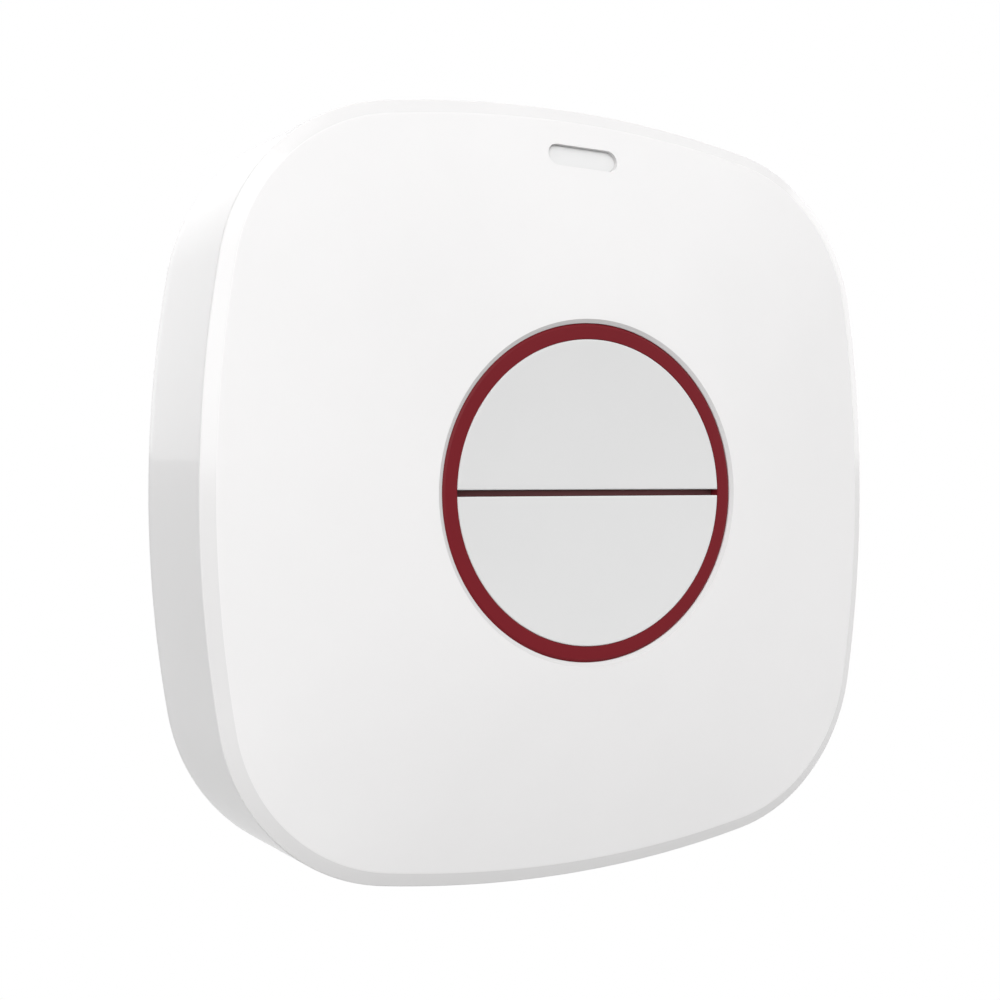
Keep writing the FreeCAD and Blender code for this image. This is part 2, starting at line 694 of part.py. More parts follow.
def on_rear(shape, x, y):
    """Stands a switch on the back of the board, facing the wall."""
    placed = shape.copy()
    placed.rotate(point(0, 0, 0), point(1, 0, 0), 180)
    placed.translate(point(x, y, BOARD_REAR))
    return placed


def lamp():
    base = block(0, 0, LAMP_LENGTH, LAMP_WIDTH, BOARD_FRONT, BOARD_FRONT + LAMP_BASE)
    top_length = LAMP_LENGTH - 4 * LAMP_TOP_INSET
    top_width = LAMP_WIDTH - LAMP_TOP_INSET
    return base.fuse(block(0, 0, top_length, top_width, BOARD_FRONT, BOARD_FRONT + LAMP_HEIGHT))


def ring_leds():
    lamps = []
    for bearing in LEG_BEARINGS:
        x, y = at_bearing(LAMP_CIRCLE, bearing)
        one = lamp()
        one.translate(point(x, y, 0))
        lamps.append(one)
    return Part.makeCompound(lamps)


def indicator_led():
    one = lamp()
    one.translate(point(0, WINDOW_Y, 0))
    return one


def coin_cell():
    shoulder = CELL_TOP - CELL_CAP_STEP
    cell = revolved(
        [
            (0, CELL_BOTTOM),
            (CELL_RADIUS - CELL_EDGE, CELL_BOTTOM),
            (CELL_RADIUS, CELL_BOTTOM + CELL_EDGE),
            (CELL_RADIUS, shoulder - CELL_CRIMP),
            (CELL_RADIUS - CELL_CRIMP, shoulder),
            (CELL_CAP_RADIUS, shoulder),
            (CELL_CAP_RADIUS, CELL_TOP),
            (0, CELL_TOP),
        ]
    )
    cell.translate(point(0, CELL_Y, 0))
    return cell


def battery_holder():
    base_bottom = BOARD_REAR - CRADLE_BASE
    cradle = cylinder(0, CELL_Y, CRADLE_RADIUS, base_bottom - CRADLE_HEIGHT, BOARD_REAR)
    pocket = cylinder(0, CELL_Y, CELL_RADIUS + CRADLE_GAP, 0, base_bottom)
    mouth = block(0, CELL_Y - CRADLE_RADIUS, CRADLE_MOUTH, 2 * CRADLE_RADIUS, 0, base_bottom)
    opening = block(0, CELL_Y, CRADLE_WINDOW_X, CRADLE_WINDOW_Y, 0, BOARD_REAR + BEYOND)
    return cradle.cut([pocket, mouth.cut(cylinder(0, CELL_Y, CELL_RADIUS, 0, TOP)), opening])


def positive_contact():
    """Bridge over the cell's rear face, bent down on both sides and soldered to the board."""
    low = CELL_BOTTOM - STRAP_THICKNESS
    leg_in = STRAP_LEG - STRAP_THICKNESS
    foot_low = BOARD_REAR - STRAP_THICKNESS
    right = [
        (STRAP_LEG, low),
        (STRAP_LEG, foot_low),
        (FOOT_END, foot_low),
        (FOOT_END, BOARD_REAR),
        (leg_in, BOARD_REAR),
        (leg_in, CELL_BOTTOM),
    ]
    left = [(-x, z) for x, z in reversed(right)]
    strip = across(right + left, CELL_Y, STRAP_WIDTH)
    shoulders = [e for e in edges_along(strip, point(0, 1, 0)) if abs(e.BoundBox.ZMin - low) < 1e-6]
    return strip.makeFillet(STRAP_BEND, shoulders)


def negative_contact():
    """Leaf that presses on the cell's board-side face through the cradle's opening."""
    pad = LEAF_PAD / 2
    slope_end = pad + LEAF_SLOPE
    foot_end = slope_end + LEAF_FOOT
    foot_low = BOARD_REAR - LEAF_THICKNESS
    right = [
        (pad, CELL_TOP),
        (slope_end, foot_low),
        (foot_end, foot_low),
        (foot_end, BOARD_REAR),
        (slope_end, BOARD_REAR),
        (pad, CELL_TOP + LEAF_THICKNESS),
    ]
    left = [(-x, z) for x, z in reversed(right)]
    return across(right + left, CELL_Y, LEAF_WIDTH)


def component(x, y, length, width, height, corner):
    """A closed part on the back of the board, with rounded corners."""
    body = block(x, y, length, width, BOARD_REAR - height, BOARD_REAR)
    return body.makeFillet(corner, edges_along(body, VERTICAL))


def radio_shield():
    return component(0, SHIELD_Y, SHIELD_LENGTH, SHIELD_WIDTH, SHIELD_HEIGHT, SHIELD_CORNER)


def microcontroller():
    size = CONTROLLER_SIZE
    return component(CONTROLLER_X, CONTROLLER_Y, size, size, CONTROLLER_HEIGHT, CONTROLLER_CORNER)


def crystal():
    return component(CRYSTAL_X, CRYSTAL_Y, CRYSTAL_LENGTH, CRYSTAL_WIDTH, CRYSTAL_HEIGHT, CRYSTAL_CORNER)


def antenna_wire():
    """Staple-shaped wire: up from the board, along its lower edge and back down."""
    away = BOARD_REAR - ANTENNA_RISE
    bend = ANTENNA_BEND
    cut = bend * (1 - math.cos(math.pi / 4))
    left, right = -ANTENNA_HALF, ANTENNA_HALF

    def at(x, z):
        return point(x, ANTENNA_Y, z)

    path = Part.Wire(
        [
            Part.LineSegment(at(left, BOARD_REAR), at(left, away + bend)).toShape(),
            Part.Arc(at(left, away + bend), at(left + cut, away + cut), at(left + bend, away)).toShape(),
            Part.LineSegment(at(left + bend, away), at(right - bend, away)).toShape(),
            Part.Arc(at(right - bend, away), at(right - cut, away + cut), at(right, away + bend)).toShape(),
            Part.LineSegment(at(right, away + bend), at(right, BOARD_REAR)).toShape(),
        ]
    )
    section = Part.Wire(Part.makeCircle(ANTENNA_RADIUS, at(left, BOARD_REAR), point(0, 0, -1)))
    return path.makePipeShell([section], True, False)


def stand_up(shape):
    """Bench frame to the part's own frame: z out of the wall becomes -Y, y up the wall becomes +Z."""
    placed = shape.copy()
    placed.rotate(point(0, 0, 0), point(1, 0, 0), 90)
    return placed


def pieces():
    case = switch_case()
    plunger = switch_plunger()
    upper = key()
    return {
        "front_cover": front_cover(),
        "rear_panel": rear_panel(),
        "light_ring": light_ring(),
        "upper_key": upper,
        "lower_key": turned(upper, 180),
        "indicator_lens": indicator_lens(),
        "circuit_board": circuit_board(),
        "board_screws": board_screws(),
        "upper_switch_case": on_front(case, 0, SWITCH_Y),
        "upper_switch_plunger": on_front(plunger, 0, SWITCH_Y),
        "lower_switch_case": on_front(case, 0, -SWITCH_Y),
        "lower_switch_plunger": on_front(plunger, 0, -SWITCH_Y),
        "tamper_switch_case": on_rear(case, TAMPER_X, TAMPER_Y),
        "tamper_switch_plunger": on_rear(plunger, TAMPER_X, TAMPER_Y),
        "ring_leds": ring_leds(),
        "indicator_led": indicator_led(),
        "coin_cell": coin_cell(),
        "battery_holder": battery_holder(),
        "positive_contact": positive_contact(),
        "negative_contact": negative_contact(),
        "radio_shield": radio_shield(),
        "microcontroller": microcontroller(),
        "crystal": crystal(),
        "antenna_wire": antenna_wire(),
    }


os.makedirs("parts", exist_ok=True)
for name, shape in pieces().items():
    stand_up(shape).exportStep(os.path.join("parts", name + ".step"))
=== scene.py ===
import math

import bmesh
import bpy
import numpy as np
from mathutils import Matrix, Vector


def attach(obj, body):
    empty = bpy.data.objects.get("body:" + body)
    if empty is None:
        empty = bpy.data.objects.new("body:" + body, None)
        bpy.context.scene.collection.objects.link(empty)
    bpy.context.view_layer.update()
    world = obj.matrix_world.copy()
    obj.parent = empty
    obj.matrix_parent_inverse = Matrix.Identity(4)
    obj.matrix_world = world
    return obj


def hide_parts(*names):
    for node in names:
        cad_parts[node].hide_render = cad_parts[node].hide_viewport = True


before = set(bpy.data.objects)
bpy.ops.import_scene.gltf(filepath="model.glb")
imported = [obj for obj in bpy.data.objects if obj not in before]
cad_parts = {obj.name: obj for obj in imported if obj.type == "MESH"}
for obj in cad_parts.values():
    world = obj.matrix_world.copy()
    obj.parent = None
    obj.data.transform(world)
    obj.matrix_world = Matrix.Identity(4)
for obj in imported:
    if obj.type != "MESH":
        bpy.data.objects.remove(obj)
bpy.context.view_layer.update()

# All lengths below are millimetres on the bench: x to the right, y up the wall, z out of the wall.
# placed() turns bench points into the part's frame, in metres.

# Housing outline at its front edge, as half its width, the distance from its centre to a corner and the bearing
# at which the side and corner arcs meet, and the heights of its forms above the wall
HALF = 32.5
DIAGONAL = 37.5
JOINT = math.radians(9.75)
RIM = 0.1
FRONT_EDGE = 12.7
FLARE = 0.596
FACET_WIDTH = 1.18
FACET_DROP = 0.55
FACET_MIDDLE = 0.6
FACE_EDGE = FRONT_EDGE + FACET_DROP
CROWN = 2.55
BROW = FACE_EDGE + CROWN
TOP = 15.8
EDGE_ROUND = 0.18
EDGE_STEPS = 9
WALL = 1.8
ROOF = 1.7
SHOULDER = FRONT_EDGE - ROOF - FACET_DROP
MID_WALL = 6.0
INNER_CHAMFER = 0.1
NOTCH_HALF = 4.5
NOTCH_TOP = 1.5
NOTCH_CLEAR = 0.002
NOTCH_ROW = NOTCH_TOP + 0.02
# Distance from a crease to the row or ring that keeps its shading narrow
CREASE = 0.04
# Small round at the housing's rim, as (inset, height above the rim)
RIM_ROUND = ((0.0, 0.12), (0.03, 0.03), (0.12, 0.0))

# Columns over a side arc and over a corner arc, and the shares of the dome's height that get a row: even ones,
# then one more close to the facet
SIDE_COLUMNS = 44
CORNER_COLUMNS = 56
DOME_SHARES = np.append(np.linspace(1, 0.0065, 49), 0.002)
SIDE_HEIGHTS = np.linspace(FRONT_EDGE - 1.0, NOTCH_ROW, 16)
CEILING_SHARES = np.linspace(0, 0.8, 13)

# Kinds of surface on the cover, in the order of its materials. The facet's and the last kind's colours are darker than
# the face's as painted shade.
FACE, POLISHED, SATIN_SHADED, MATT_SHADED = range(4)

# Well, ring and keys
WELL = 14.16
WELL_RIM = 14.5
WELL_BEVEL = 0.18
COLLAR = 17.8
COLLAR_TOP = TOP - ROOF - 0.35
COLLAR_SEAT = TOP - 2.65
RING_TOP = BROW - 0.14
RING_INNER = 12.83
RING_OUTER = 14.14
RING_CHAMFER = 0.27
RING_CHAMFER_DEPTH = 0.12
RING_CREASE = 0.03
RING_INNER_EDGE = 0.03
RING_OUTER_EDGE = 0.02
FLANGE = 15.0
FLANGE_BOTTOM = COLLAR_SEAT - 0.8
BAR_HALF = 0.8
BAR_TOP = TOP - 1.85
RIB_HALF = 0.23
RIB_TOP = 14.65
LEG_BOTTOM = 9.6
LEG_BEARINGS = (45, 135, 225, 315)
LEG_HALF_TURN = 6
STAKE_CIRCLE = 15.9
STAKE_BEARINGS = (0, 90, 180, 270)
LUG = 1.7
LUG_POINTS = 40
KEY_RADIUS = 12.81
KEY_UNDERSIDE = TOP - 1.3
KEY_BOTTOM = TOP - 4.05
SKIRT = 1.2
SKIRT_LOW = 1.0
SKIRT_STEPS = 120
SLIT_HALF = 0.27
DISH = 0.32
KEY_ROUND = 0.09
KEY_STEPS = 7
KEY_SHARES = np.linspace(0.02, 1, 40)
POST = 1.5
POST_Y = 6.4
POST_POINTS = 48
POST_BOTTOM = 12.7
TAB_TOP = FLANGE_BOTTOM - 0.05
TAB_BOTTOM = TAB_TOP - 0.85
TAB_REACH = 13.9
TAB_HALF_TURN = 8.24
TAB_BEARINGS = (20, 90, 160)
TAB_STEPS = 10
MOON_ARC_POINTS = 150
MOON_EDGE_POINTS = 90

# Indicator window and its lens
WINDOW_Y = 28.34
WINDOW_HALF_RUN = 2.5
WINDOW_END = 0.92
WINDOW_RECESS = 0.32
WINDOW_DRAFT = 0.075
WINDOW_DRAFT_END = 0.06
WINDOW_ROUND = 0.015
WINDOW_STEPS = 6
WINDOW_CREASE = 0.012
WINDOW_POCKET = 1.2
POCKET_SHARE = 0.2
# Patch of the face round the window: half its height, its margin beside the slot, and its widest bearing
PATCH_HALF_HEIGHT = 1.75
PATCH_MARGIN = 1.5
PATCH_TURN = 0.1
PATCH_RINGS = 12
LENS_GAP = 0.01
LENS_SLACK = 0.02
LENS_ROUND = 0.02
LENS_STEPS = 5
LENS_SHARES = (0.05, 0.4, 0.75, 0.9)
LENS_POINTS = 96
LENS_FLANGE = 0.49
LENS_SEAT = 12.184
LENS_FLANGE_GAP = 0.06
LENS_FLANGE_DEPTH = 0.8
LENS_FOOT = 9.6
LENS_FOOT_RUN = 1.25
LENS_FOOT_END = 0.75

# Meshes: creases above SHARP_ANGLE degrees stay sharp, points within WELD metres become one, and edges shorter
# than NO_LENGTH metres are removed. SAME is the widest gap between bearings that count as equal, and HALVINGS
# how often an interval is halved.
SHARP_ANGLE = 30
WELD = 2e-7
NO_LENGTH = 1e-8
SAME = 1e-9
HALVINGS = 40


def placed(points):
    """Bench millimetres to the part's frame in metres: (x, y, z) becomes (x, -z, y)."""
    return np.stack([points[:, 0], -points[:, 2], points[:, 1]], 1) * 0.001


def side_and_corner(half, diagonal):
    """Arc centres and radii of an outline section, from its half width and its centre-to-corner distance.

    The side arc and the corner arc share a tangent at the bearing JOINT, so the difference of their radii is
    (diagonal - half) / ((sqrt 2 - 1) sin J - 1 + cos J), and the corner centre lies at that times sin J.
    """
    shortfall = (math.sqrt(2) - 1) * math.sin(JOINT) - 1 + math.cos(JOINT)
    difference = (diagonal - half) / shortfall
    corner = difference * math.sin(JOINT)
    corner_radius = diagonal - math.sqrt(2) * corner
    side_radius = corner_radius + difference
    return half - side_radius, side_radius, corner, corner_radius


def outline(half, diagonal, bearing):
    """Point of the section whose outward normal has the given bearing, by the rounded-square formula.

    Within JOINT of an axis it is on the side arc, elsewhere on the corner arc; each quarter is the first one
    turned by 90 degrees.
    """
    quarter = np.floor((bearing + JOINT) / (math.pi / 2))
    local = bearing - quarter * math.pi / 2
    side, side_radius, corner, corner_radius = side_and_corner(half, diagonal)
    on_side = local <= JOINT
    centre_x = np.where(on_side, side, corner)
    centre_y = np.where(on_side, 0.0, corner)
    radius = np.where(on_side, side_radius, corner_radius)
    x = centre_x + radius * np.cos(local)
    y = centre_y + radius * np.sin(local)
    turn = quarter * math.pi / 2
    return x * np.cos(turn) - y * np.sin(turn), x * np.sin(turn) + y * np.cos(turn)


def flared(z):
    """How far the side wall stands out from the front edge's outline at height z; it grows evenly downwards."""
    return FLARE * (FRONT_EDGE - z) / (FRONT_EDGE - RIM)


def dome_half(share):
    """Half width and diagonal of the dome's section at a share of its height: their squares change evenly."""
    half = np.sqrt((1 - share) * (HALF - FACET_WIDTH) ** 2 + share * WELL_RIM**2)
    diagonal = np.sqrt((1 - share) * (DIAGONAL - FACET_WIDTH) ** 2 + share * WELL_RIM**2)
    return half, diagonal


def dome_height(x, y):
    """Height of the dome over points near the top edge, by halving the interval of its share of the crown.

    The section through a point near x = 0 is its side arc, centred on the line x = 0, so the point lies on it
    when its distance from that centre is the side radius.
    """
    low = np.zeros_like(x)
    high = np.ones_like(x)
    for _ in range(HALVINGS):
        share = (low + high) / 2
        half, diagonal = dome_half(share)
        side, radius, _, _ = side_and_corner(half, diagonal)
        outside = np.hypot(x, y - side) > radius
        high = np.where(outside, share, high)
        low = np.where(outside, low, share)
    return FACE_EDGE + CROWN * share


def quads(rows, columns, close_rows=False):
    """Faces of a grid of rows by columns of points, as index quadruples; its columns close into rings."""
    row = np.arange(rows if close_rows else rows - 1)[:, None]
    column = np.arange(columns)[None, :]
    next_row = (row + 1) % rows
    next_column = (column + 1) % columns
    corners = [
        row * columns + column,
        row * columns + next_column,
        next_row * columns + next_column,
        next_row * columns + column,
    ]
    return np.stack([np.broadcast_to(c, (row.size, column.size)) for c in corners], -1).reshape(-1, 4)


def caps(rows, columns):
    """Faces over the first and the last ring of such a grid, turned away from each other."""
    return tuple(range(columns))[::-1], tuple(range((rows - 1) * columns, rows * columns))


class Build:
    """Collects grids of points and their faces for one piece."""

    def __init__(self):
        self.points = []
        self.faces = []
        self.kinds = []
        self.count = 0

    def add(self, points, faces, kind=0):
        """Adds points and faces that index them; kind is one material index, or one for each face."""
        self.points.append(np.asarray(points, float).reshape(-1, 3))
        self.faces += [tuple(int(i) + self.count for i in face) for face in faces]
        self.kinds += np.broadcast_to(kind, len(faces)).tolist()
        self.count += len(self.points[-1])

    def tube(self, points):
        """Adds a grid of closed rings, with one face over the first and one over the last ring."""
        self.add(points, [*quads(*points.shape[:2]), *caps(*points.shape[:2])])

    def finish(self, name, body, replaced, slot, materials):
        """Makes the piece: one mesh in the part's frame, welded, its faces outward and its creases sharp."""
        points = placed(np.concatenate(self.points))
        mesh = bpy.data.meshes.new(name)
        mesh.from_pydata(points.tolist(), [], self.faces)
        mesh.polygons.foreach_set("material_index", self.kinds)
        for material in materials:
            mesh.materials.append(material)
        work = bmesh.new()
        work.from_mesh(mesh)
        bmesh.ops.remove_doubles(work, verts=work.verts, dist=WELD)
        bmesh.ops.dissolve_degenerate(work, edges=work.edges, dist=NO_LENGTH)
        bmesh.ops.recalc_face_normals(work, faces=work.faces)
        work.to_mesh(mesh)
        work.free()
        mesh.polygons.foreach_set("use_smooth", [True] * len(mesh.polygons))
        mesh.set_sharp_from_angle(angle=math.radians(SHARP_ANGLE))
        mesh.update()
        piece = bpy.data.objects.new(name, mesh)
        bpy.context.scene.collection.objects.link(piece)
        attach(piece, body)
        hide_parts(replaced)
        return piece


def arc_turns(start, end, steps):
    """Evenly spaced bearings in radians from start to end, which are in degrees."""
    return np.linspace(math.radians(start), math.radians(end), steps + 1)


def level_ring(x, y, z):
    """Ring of points (x, y) at one height z, or at one height each."""
    return np.stack([x, y, np.broadcast_to(z, x.shape)], 1)


def lathe(profile, start=0.0, end=360.0, steps=240):
    """Closed profile of (radius, height) points carried round the centre line; part turns are capped."""
    profile = np.asarray(profile, float)
    full = abs(end - start - 360) < SAME
    turns = arc_turns(start, end, steps)[: steps if full else steps + 1]
    radius = profile[None, :, 0]
    x = radius * np.cos(turns)[:, None]
    y = radius * np.sin(turns)[:, None]
    z = np.broadcast_to(profile[None, :, 1], x.shape)
    grid = np.stack([x, y, z], -1)
    faces = quads(*grid.shape[:2], close_rows=full)
    return grid, faces if full else [*faces, *caps(*grid.shape[:2])]


def slab(x0, x1, y0, y1, z0, z1):
    """Eight corners and six faces of a plain block."""
    points = [(x, y, z) for z in (z0, z1) for y in (y0, y1) for x in (x0, x1)]
    faces = [(0, 2, 3, 1), (4, 5, 7, 6), (0, 1, 5, 4), (2, 6, 7, 3), (0, 4, 6, 2), (1, 3, 7, 5)]
    return points, faces


def obround(half_run, end, count):
    """Slot outline of evenly spaced points, anticlockwise from the middle of its right end."""
    straight = 2 * half_run
    bend = math.pi * end
    length = 2 * straight + 2 * bend
    along = (np.arange(count) / count) * length
    along = (along + bend / 2) % length
    first = along < bend
    second = (along >= bend) & (along < bend + straight)
    third = (along >= bend + straight) & (along < 2 * bend + straight)
    turn_right = along / end - math.pi / 2
    turn_left = (along - bend - straight) / end + math.pi / 2
    x = np.where(
        first,
        half_run + end * np.cos(turn_right),
        np.where(
            second,
            half_run - (along - bend),
            np.where(third, -half_run + end * np.cos(turn_left), -half_run + (along - 2 * bend - straight)),
        ),
    )
    y = np.where(
        first,
        end * np.sin(turn_right),
        np.where(second, end, np.where(third, end * np.sin(turn_left), -end)),
    )
    return x, y


def housing_bearings():
    """Normal bearings round the outline, and whether each column lies in the pry notch.

    The notch's edges are doubled, one column outside and one inside, and columns too close to them are left out.
    """
    steps = []
    for quarter in range(4):
        start = quarter * math.pi / 2
        steps.append(start + np.linspace(-JOINT, JOINT, SIDE_COLUMNS + 1)[:-1])
        steps.append(start + np.linspace(JOINT, math.pi / 2 - JOINT, CORNER_COLUMNS + 1)[:-1])
    bearings = np.concatenate(steps) % (2 * math.pi)
    below = 1.5 * math.pi
    edge = math.asin(NOTCH_HALF / side_and_corner(HALF + FLARE, DIAGONAL + FLARE)[1])
    keep = np.abs(np.abs(bearings - below) - edge) > NOTCH_CLEAR
    bearings = np.sort(np.concatenate([bearings[keep], [below - edge, below - edge, below + edge, below + edge]]))
    inside = np.abs(bearings - below) < edge - SAME
    marks = np.nonzero(np.abs(np.abs(bearings - below) - edge) < SAME)[0]
    inside[marks[1]] = True
    inside[marks[2]] = True
    return bearings, inside


def housing_rows():
    """Profile of the cover from the well's foot over the face, down the side and back inside.

    Each row is (half width, diagonal, height, kind of surface). Rows come closer at creases so that each one
    shades as a small radius. The round on the front edge is the arc that touches the facet and the flared side.
    """
    rows = []

    def add(half, diagonal, z, kind):
        rows.append((half, diagonal, z, kind))

    def ring(radius, z, kind):
        add(radius, radius, z, kind)

    def grown(offset, z, kind):
        add(HALF + offset, DIAGONAL + offset, z, kind)

    ring(WELL, COLLAR_SEAT, POLISHED)
    # The well's bevel takes the greyer ABS, whose colour paints the shade in the well.
    ring(WELL, BROW - WELL_BEVEL, MATT_SHADED)
    for share in DOME_SHARES:
        add(*dome_half(share), FACE_EDGE + CROWN * share, FACE)
    slope = math.atan2(FACET_DROP, FACET_WIDTH)
    flare = math.atan2(FLARE, FRONT_EDGE - RIM)
    tangent = EDGE_ROUND * math.tan((math.pi / 2 - slope - flare) / 2)
    edge = -tangent * math.cos(slope)
    centre = edge - EDGE_ROUND * math.sin(slope)
    centre_z = FRONT_EDGE + tangent * math.sin(slope) - EDGE_ROUND * math.cos(slope)
    # The facet's rows take the satin ABS, whose darker colour paints the facet's shade.
    grown(-FACET_WIDTH + CREASE, FACE_EDGE - CREASE * math.tan(slope), SATIN_SHADED)
    grown(-FACET_MIDDLE * FACET_WIDTH, FRONT_EDGE + FACET_MIDDLE * FACET_DROP, SATIN_SHADED)
    grown(edge - CREASE, FRONT_EDGE - (edge - CREASE) * math.tan(slope), SATIN_SHADED)
    for turn in np.linspace(math.pi / 2 - slope, flare, EDGE_STEPS):
        grown(centre + EDGE_ROUND * math.cos(turn), centre_z + EDGE_ROUND * math.sin(turn), POLISHED)
    for z in [FRONT_EDGE - tangent - CREASE, *SIDE_HEIGHTS]:
        grown(flared(z), z, POLISHED)
    for inset, above in RIM_ROUND:
        grown(flared(RIM + above) - inset, RIM + above, POLISHED)
    grown(flared(RIM) - WALL + INNER_CHAMFER, RIM, POLISHED)
    for z in (RIM + INNER_CHAMFER, NOTCH_ROW, MID_WALL, SHOULDER):
        grown(flared(z) - WALL, z, POLISHED)
    ceiling = FACE_EDGE - ROOF
    inset = flared(SHOULDER) - WALL - (ceiling - SHOULDER)
    for share in CEILING_SHARES:
        half, diagonal = dome_half(share)
        shrink = (inset + FACET_WIDTH) * (1 - share)
        add(half + shrink, diagonal + shrink, ceiling + CROWN * share, POLISHED)
    ring(COLLAR, COLLAR_TOP, POLISHED)
    ring(COLLAR, COLLAR_SEAT, POLISHED)
    return rows


def window_patch(grid, kinds, bearings):
    """Part of the face's grid that the window replaces, as its lowest and highest row and its right and left column."""
    middle = grid[:, np.argmin(np.abs(bearings - math.pi / 2)), 1]
    face_rows = np.nonzero(kinds == FACE)[0]
    low = face_rows[np.argmin(np.abs(middle[face_rows] - (WINDOW_Y - PATCH_HALF_HEIGHT)))]
    high = face_rows[np.argmin(np.abs(middle[face_rows] - (WINDOW_Y + PATCH_HALF_HEIGHT)))]
    near = np.abs(bearings - math.pi / 2) < PATCH_TURN
    beside = np.abs(grid[high, :, 0]) < WINDOW_HALF_RUN + WINDOW_END + PATCH_MARGIN
    columns = np.nonzero(near & beside)[0]
    return low, high, columns[0], columns[-1]


def patch_rim(grid, low, high, right, left):
    """Points round the patch's edge, anticlockwise from the one nearest to the right end of the window."""
    loop = [(high, c) for c in range(right, left)]
    loop += [(r, left) for r in range(high, low, -1)]
    loop += [(low, c) for c in range(left, right, -1)]
    loop += [(r, right) for r in range(low, high)]
    rim = np.array([grid[r, c] for r, c in loop])
    turn = np.arctan2(rim[:, 1] - WINDOW_Y, rim[:, 0])
    rim = np.roll(rim, -int(np.argmin(np.abs(turn))), axis=0)
    onward = np.roll(rim, -1, axis=0)
    clockwise = np.sum(rim[:, 0] * onward[:, 1] - rim[:, 1] * onward[:, 0]) < 0
    return np.roll(rim[::-1], 1, axis=0) if clockwise else rim


def window_rings(rim):
    """Rings from the patch's edge to the slot's edge, and rings from there down its wall to the lens's pocket.

    The first ones change evenly from the edge of the patch to the slot, at the dome's own height. The wall has
    a small round at its edge and leans inwards as far as the lens, then it is plumb.
    """
    count = len(rim)
    outer_x, outer_y = obround(WINDOW_HALF_RUN, WINDOW_END + WINDOW_ROUND + WINDOW_CREASE, count)
    face = []
    for share in np.linspace(0, 1, PATCH_RINGS):
        x = rim[:, 0] * (1 - share) + outer_x * share
        y = rim[:, 1] * (1 - share) + (outer_y + WINDOW_Y) * share
        face.append(level_ring(x, y, rim[:, 2] if share == 0 else dome_height(x, y)))
    outer_x, outer_y = obround(WINDOW_HALF_RUN, WINDOW_END + WINDOW_ROUND, count)
    top = dome_height(outer_x, outer_y + WINDOW_Y)
    for turn in np.linspace(0, math.pi / 2, WINDOW_STEPS):
        x, y = obround(WINDOW_HALF_RUN, WINDOW_END + WINDOW_ROUND * (1 - math.sin(turn)), count)
        face.append(level_ring(x, y + WINDOW_Y, top - WINDOW_ROUND * (1 - math.cos(turn))))
    face.append(level_ring(x, y + WINDOW_Y, top - WINDOW_ROUND - WINDOW_CREASE))
    x, y = obround(WINDOW_HALF_RUN, WINDOW_END - WINDOW_DRAFT, count)
    y = y + WINDOW_Y
    wall = [level_ring(x, y, top - WINDOW_RECESS - WINDOW_DRAFT_END), level_ring(x, y, LENS_SEAT)]
    x, y = obround(WINDOW_HALF_RUN, WINDOW_END + LENS_FLANGE, count)
    wall += [level_ring(x, y + WINDOW_Y, z) for z in (LENS_SEAT, LENS_SEAT - WINDOW_POCKET)]
    wall.append(level_ring(x * POCKET_SHARE, y * POCKET_SHARE + WINDOW_Y, LENS_SEAT - WINDOW_POCKET))
    return face, wall


def front_cover(materials):
    """Moulded cover: one closed surface over (profile row, outline bearing), pierced by the window.

    In the notch's columns no row goes lower than the notch's ceiling.
    """
    bearings, notched = housing_bearings()
    half, diagonal, height, kinds = np.array(housing_rows()).T
    height = height[:, None] + np.zeros((1, bearings.size))
    lifted = notched[None, :] & (height < NOTCH_TOP)
    rise = np.where(lifted, NOTCH_TOP - height, 0.0)
    pull = FLARE * rise / (FRONT_EDGE - RIM)
    x, y = outline(half[:, None] - pull, diagonal[:, None] - pull, bearings[None, :])
    grid = np.stack([x, y, height + rise], -1)
    columns = bearings.size
    faces = quads(*grid.shape[:2], close_rows=True)
    kind = np.repeat(kinds.astype(int), columns)
    low, high, right, left = window_patch(grid, kinds, bearings)
    row, column = faces[:, 0] // columns, faces[:, 0] % columns
    kept = (row < low) | (row >= high) | (column < right) | (column >= left)
    build = Build()
    build.add(grid, faces[kept], kind[kept])

    face, wall = window_rings(patch_rim(grid, low, high, right, left))
    patch = np.stack(face + wall)
    count = patch.shape[1]
    # The slot's walls take the greyer ABS, whose colour paints their shade.
    patch_kind = np.repeat([FACE, MATT_SHADED], [(len(face) - 1) * count, len(wall) * count])
    build.add(patch, quads(*patch.shape[:2]), patch_kind)
    return build.finish("cover_shell", "housing", "front_cover", "cover_plastic", materials)


